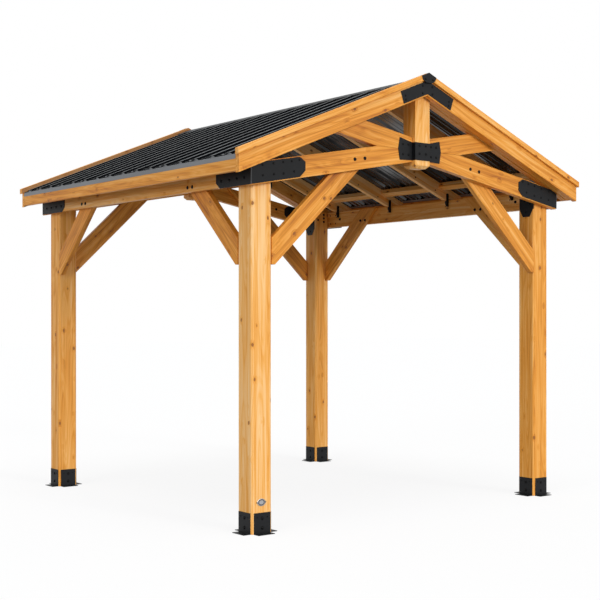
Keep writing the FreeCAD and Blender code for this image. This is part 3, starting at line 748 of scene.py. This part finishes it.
# Rafter brackets and the screws that hold the rafters
mesh = bmesh.new()
for side in (-1, 1):
    for y in RAFTERS_Y:
        bracket_face = y - RAFTER_HALF - PLATE_STEEL
        for z in (2.222, 2.201):
            screw(mesh, (side * 1.289, bracket_face, z), IN_Y, BRACKET_SCREW)
        screw(mesh, (side * 1.298, y + 0.006, 2.148), (-side, 0, 0), BRACKET_SCREW)
        for x in (0.952, 1.163):
            z = roof_level(x) - ROOF_BOARDS_BELOW + 0.026
            screw(mesh, (side * x, y - RAFTER_HALF, z), IN_Y, RAFTER_SCREW)
            screw(mesh, (side * x, y + RAFTER_HALF, z), OUT_Y, RAFTER_SCREW)
finish_mesh("rafter_screws", mesh, BOLT)

# Roof screws with washers on every other flat between the ribs
mesh = bmesh.new()
for side in (-1, 1):
    up = Vector((side * ROOF_SLOPE, 0, 1)).normalized()
    for x in (0.18, 0.62, 1.24, 1.452):
        for number in range(RIB_COUNT // 2):
            y = -RIBS_END + RIB_PITCH * (2 * number + 1)
            spot = Vector((side * x, y, roof_level(x))) + up * 0.0024
            hex_bolt(mesh, spot, up, ROOF_HEX)
finish_mesh("roof_screws", mesh, FLASHING)


def closures_and_shade_blocks(name, middles, x, depth, lift, outline, finish):
    """Small blocks in a row: outline is (y, rise) round the outer end, at x, and the
    inner end lies depth further in and lift higher."""
    mesh = bmesh.new()
    corners = len(outline)
    level = roof_level(x)
    for side in (-1, 1):
        for middle in middles:
            outer = [
                mesh.verts.new((side * x, middle + y, level + rise)) for y, rise in outline
            ]
            inner = [
                mesh.verts.new((side * (x - depth), middle + y, level + lift + rise))
                for y, rise in outline
            ]
            mesh.faces.new(outer)
            mesh.faces.new(inner[::-1])
            for step in range(corners):
                nxt = (step + 1) % corners
                mesh.faces.new((outer[step], inner[step], inner[nxt], outer[nxt]))
    finish_mesh(name, mesh, finish, False)


# Closures that fill the ribs at the eave, and black blocks of painted shade between the ribs,
# which rise with the roof under the edges of the ridge cap
in_ribs = [-RIBS_END + RIB_PITCH * (number + 0.5) for number in range(RIB_COUNT)]
between_ribs = [-RIBS_END + RIB_PITCH * number for number in range(1, RIB_COUNT)]
rib_end = [(-0.031, 0.0002), (0.031, 0.0002), (0.0128, 0.0135), (-0.0128, 0.0135)]
gap_end = [(-0.0580, 0.0012), (0.0580, 0.0012), (0.0760, 0.0150), (-0.0760, 0.0150)]
gap_depth = 0.010
gap_lift = ROOF_SLOPE * gap_depth
closures_and_shade_blocks("eave_closures", in_ribs, 1.4715, 0.004, 0.0, rib_end, FLASHING)
closures_and_shade_blocks(
    "ridge_shade_blocks", between_ribs, 0.110, gap_depth, gap_lift, gap_end, BOLT
)

# Bare oval badge: the outline is (distance in from the rim, height), and 1 is the centre
mesh = bmesh.new()
centre = Vector(BADGE_CENTRE)
badge_outline = [
    (0.0, 0.0),
    (0.0, 0.0022),
    (0.05, 0.0030),
    (0.12, 0.0030),
    (0.16, 0.0020),
    (1.0, 0.0020),
]
badge_turns = 40
rings = []
for share, height in badge_outline:
    if share == 1.0:
        rings.append([mesh.verts.new(centre + Vector((0, -height, 0)))])
        continue
    inset = share * BADGE_HALF_WIDE
    ring = []
    for step in range(badge_turns):
        angle = 2 * math.pi * step / badge_turns
        x = (BADGE_HALF_WIDE - inset) * math.cos(angle)
        z = (BADGE_HALF_HIGH - inset) * math.sin(angle)
        ring.append(mesh.verts.new(centre + Vector((x, -height, z))))
    rings.append(ring)
join_rings(mesh, rings)
finish_mesh("oval_badge", mesh, BADGE)

# The two screws at the ends of the badge
mesh = bmesh.new()
for side in (-1, 1):
    beside = Vector((side * (BADGE_HALF_WIDE + 0.002), -0.0008, 0))
    screw(mesh, centre + beside, IN_Y, BADGE_SCREW)
finish_mesh("badge_screws", mesh, BOLT)


# ---------------------------------------------------------------- stage

FLOOR_LEVEL = -0.0005
FLOOR_PALE = (0.34, 0.33, 0.32)
FLOOR_GLOW = 0.85
AMBIENT_COLOUR = (0.93, 0.96, 1.0, 1.0)
AMBIENT_STRENGTH = 0.50

floor_data = bpy.data.meshes.new("floor")
floor_mesh = bmesh.new()
bmesh.ops.create_grid(floor_mesh, x_segments=1, y_segments=1, size=40.0)
floor_mesh.to_mesh(floor_data)
floor_mesh.free()
floor = bpy.data.objects.new("floor", floor_data)
scene.collection.objects.link(floor)
floor.location.z = FLOOR_LEVEL
floor_material, graph, shader = material("floor_white")
shader.inputs["Roughness"].default_value = 0.9
shader.inputs["Specular IOR Level"].default_value = 0.1
path = graph.add("ShaderNodeLightPath").outputs
paper = graph.mix(path["Is Camera Ray"], FLOOR_PALE, WHITE)
graph.feed(shader, "Base Color", paper)
white = graph.add("ShaderNodeEmission", {"Color": (*WHITE, 1.0), "Strength": 1.0})
seen = graph.math("MAXIMUM", path["Is Camera Ray"], path["Is Glossy Ray"])
share = graph.math("MULTIPLY", seen, FLOOR_GLOW)
layers = {"Fac": share, 1: shader.outputs["BSDF"], 2: white.outputs["Emission"]}
blend = graph.add("ShaderNodeMixShader", layers)
output = [n for n in graph.tree.nodes if n.type == "OUTPUT_MATERIAL"][0]
graph.feed(output, "Surface", blend.outputs["Shader"])
floor_data.materials.append(floor_material)

world = bpy.data.worlds.new("studio")
scene.world = world
world.use_nodes = True
world.node_tree.nodes.clear()
graph = Graph(world.node_tree)
path = graph.add("ShaderNodeLightPath").outputs
soft = graph.add(
    "ShaderNodeBackground",
    {"Color": AMBIENT_COLOUR, "Strength": AMBIENT_STRENGTH},
)
seen = graph.math("MAXIMUM", path["Is Camera Ray"], path["Is Transmission Ray"])
seen = graph.math("MAXIMUM", seen, path["Is Glossy Ray"])
backdrop = graph.add("ShaderNodeBackground", {"Color": (*WHITE, 1.0), "Strength": 1.0})
layers = {"Fac": seen, 1: soft.outputs["Background"], 2: backdrop.outputs["Background"]}
blend = graph.add("ShaderNodeMixShader", layers)
graph.add("ShaderNodeOutputWorld", {"Surface": blend.outputs["Shader"]})


def sun(name, direction, strength, angle, colour=WHITE):
    """A soft lamp: angle is how wide it looks, in degrees."""
    lamp = bpy.data.lights.new(name, "SUN")
    lamp.energy = strength
    lamp.angle = math.radians(angle)
    lamp.color = colour
    holder = bpy.data.objects.new(name, lamp)
    scene.collection.objects.link(holder)
    holder.rotation_mode = "QUATERNION"
    holder.rotation_quaternion = Vector(direction).to_track_quat("-Z", "Y")


sun("key", (-0.12, 0.96, -0.22), 1.64, 16.0, (1.0, 0.985, 0.96))
sun("fill", (0.88, 0.30, -0.25), 0.92, 30.0, (0.96, 0.98, 1.0))
sun("top", (0.10, 0.25, -1.0), 1.0, 40.0)

# The camera that the photograph was matched with: angles in radians, place in metres,
# and lengths in the picture in its pixels
CAMERA_PLACE = (-5.38809, -7.06419, 1.30266)
YAW = 0.65686
PITCH = -0.00154
ROLL = -0.00029
PICTURE_WIDTH = 600.0
FOCAL = 1197.26
SHIFT_RIGHT = 1.801
SHIFT_UP = 15.488

lens = bpy.data.cameras.new("camera")
lens.sensor_width = 36.0
lens.lens = FOCAL / PICTURE_WIDTH * lens.sensor_width
lens.shift_x = SHIFT_RIGHT / PICTURE_WIDTH
lens.shift_y = SHIFT_UP / PICTURE_WIDTH
lens.clip_end = 200.0
level = math.cos(PITCH)
ahead = Vector((math.sin(YAW) * level, math.cos(YAW) * level, math.sin(PITCH)))
level_right = Vector((math.cos(YAW), -math.sin(YAW), 0.0))
level_up = level_right.cross(ahead)
right = level_right * math.cos(ROLL) + level_up * math.sin(ROLL)
up = level_up * math.cos(ROLL) - level_right * math.sin(ROLL)
turned = Matrix((right, up, -ahead)).transposed()
camera = bpy.data.objects.new("camera", lens)
scene.collection.objects.link(camera)
camera.matrix_world = Matrix.Translation(CAMERA_PLACE) @ turned.to_4x4()
scene.camera = camera
scene.view_settings.view_transform = "Standard"
